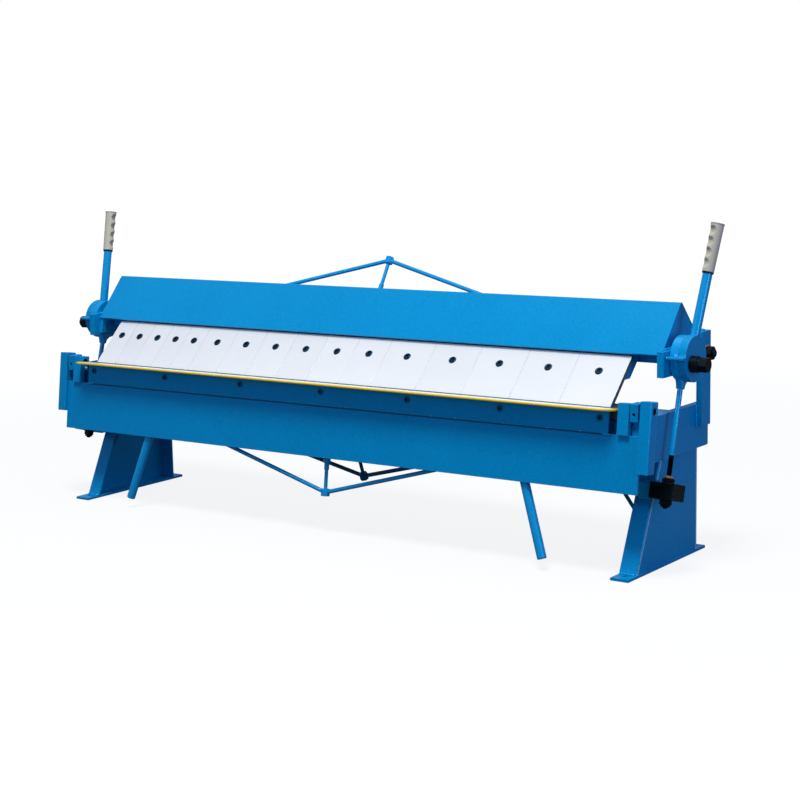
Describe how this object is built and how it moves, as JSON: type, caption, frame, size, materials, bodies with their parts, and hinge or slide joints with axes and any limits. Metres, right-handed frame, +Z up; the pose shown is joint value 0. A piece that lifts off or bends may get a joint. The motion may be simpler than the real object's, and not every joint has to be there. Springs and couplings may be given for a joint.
{
  "type": "sheet metal folding machine",
  "caption": "Hand folding machine on two legs: a clamp beam with fingers shut by eccentric levers, and a hinged folding leaf with handles.",
  "frame": {"origin": "on the floor, midway between the four foot bolt holes", "axes": "+X along the machine to its right end as seen from the folding leaf, +Y to the back, +Z up"},
  "size_m": [2.978, 0.6323, 1.1963],
  "materials": {
    "blue_paint": "gloss enamel with a light orange peel",
    "yellow_paint": "gloss enamel",
    "ground_steel": "ground and oiled",
    "black_steel": "blackened",
    "grip_plastic": "moulded, worn"
  },
  "bodies": {
    "stand": {"leg_right": "blue_paint", "leg_left": "blue_paint", "foot_plate_right": "blue_paint", "foot_plate_left": "blue_paint", "side_plate_right": "blue_paint", "side_plate_left": "blue_paint", "post_right": "blue_paint", "post_left": "blue_paint", "hinge_blocks": "blue_paint", "trunnion_brackets": "blue_paint", "bed_beam": "blue_paint", "bed_nose_bar": "ground_steel", "corner_stays": "blue_paint", "rear_pivot_bolts": "black_steel", "bed_truss_post": "blue_paint", "bed_truss_rod_right": "blue_paint", "bed_truss_rod_left": "blue_paint"},
    "leaf": {"leaf_panel": "blue_paint", "leaf_front_bar": "blue_paint", "leaf_top_plate": "yellow_paint", "hinge_cheeks": "blue_paint", "hinge_bars": "blue_paint", "leaf_handle_right": "blue_paint", "leaf_handle_left": "blue_paint", "hinge_pins": "black_steel", "leaf_truss_post": "blue_paint", "leaf_truss_rod_right": "blue_paint", "leaf_truss_rod_left": "blue_paint"},
    "clamp_beam": {"clamp_front_plate": "blue_paint", "clamp_rear_plate": "blue_paint", "clamp_web": "blue_paint", "clamp_ribs": "blue_paint", "clamp_end_right": "blue_paint", "clamp_end_left": "blue_paint", "bearing_blocks": "blue_paint", "finger_seat_bar": "blue_paint", "fingers": "ground_steel", "eccentric_bolts": "black_steel", "clamp_truss_post": "blue_paint", "clamp_truss_rod_right": "blue_paint", "clamp_truss_rod_left": "blue_paint"},
    "lever_assembly_right": {"lever_hub_right": "blue_paint", "lever_right": "blue_paint", "lever_grip_right": "grip_plastic"},
    "link_assembly_right": {"link_right": "blue_paint", "trunnion_block_right": "black_steel"},
    "lever_assembly_left": {"lever_hub_left": "blue_paint", "lever_left": "blue_paint", "lever_grip_left": "grip_plastic"},
    "link_assembly_left": {"link_left": "blue_paint", "trunnion_block_left": "black_steel"}
  },
  "joints": [
    {"name": "leaf_fold", "type": "hinge", "parent": "stand", "child": "leaf", "pos_m": [0, -0.253, 0.585], "axis": [-1, 0, 0], "range_deg": [0, 90]},
    {"name": "clamp_lift", "type": "hinge", "parent": "stand", "child": "clamp_beam", "pos_m": [0, 0.1985, 0.728], "axis": [-1, 0, 0], "range_deg": [0, 3.69]},
    {"name": "lever_turn_right", "type": "hinge", "parent": "clamp_beam", "child": "lever_assembly_right", "pos_m": [1.3815, -0.044, 0.722], "axis": [-1, 0, 0], "range_deg": [0, 24.3]},
    {"name": "link_swing_right", "type": "hinge", "parent": "stand", "child": "link_assembly_right", "pos_m": [1.3815, -0.136, 0.292], "axis": [-1, 0, 0], "range_deg": [0, 0.5]},
    {"name": "lever_turn_left", "type": "hinge", "parent": "clamp_beam", "child": "lever_assembly_left", "pos_m": [-1.3815, -0.044, 0.722], "axis": [-1, 0, 0], "range_deg": [0, 24.3]},
    {"name": "link_swing_left", "type": "hinge", "parent": "stand", "child": "link_assembly_left", "pos_m": [-1.3815, -0.136, 0.292], "axis": [-1, 0, 0], "range_deg": [0, 0.5]}
  ],
  "couplings": [
    {"joint": "lever_turn_right", "follows": "clamp_lift", "ratio": 6.5787},
    {"joint": "link_swing_right", "follows": "clamp_lift", "ratio": 0.1253},
    {"joint": "lever_turn_left", "follows": "clamp_lift", "ratio": 6.5787},
    {"joint": "link_swing_left", "follows": "clamp_lift", "ratio": 0.1253}
  ]
}
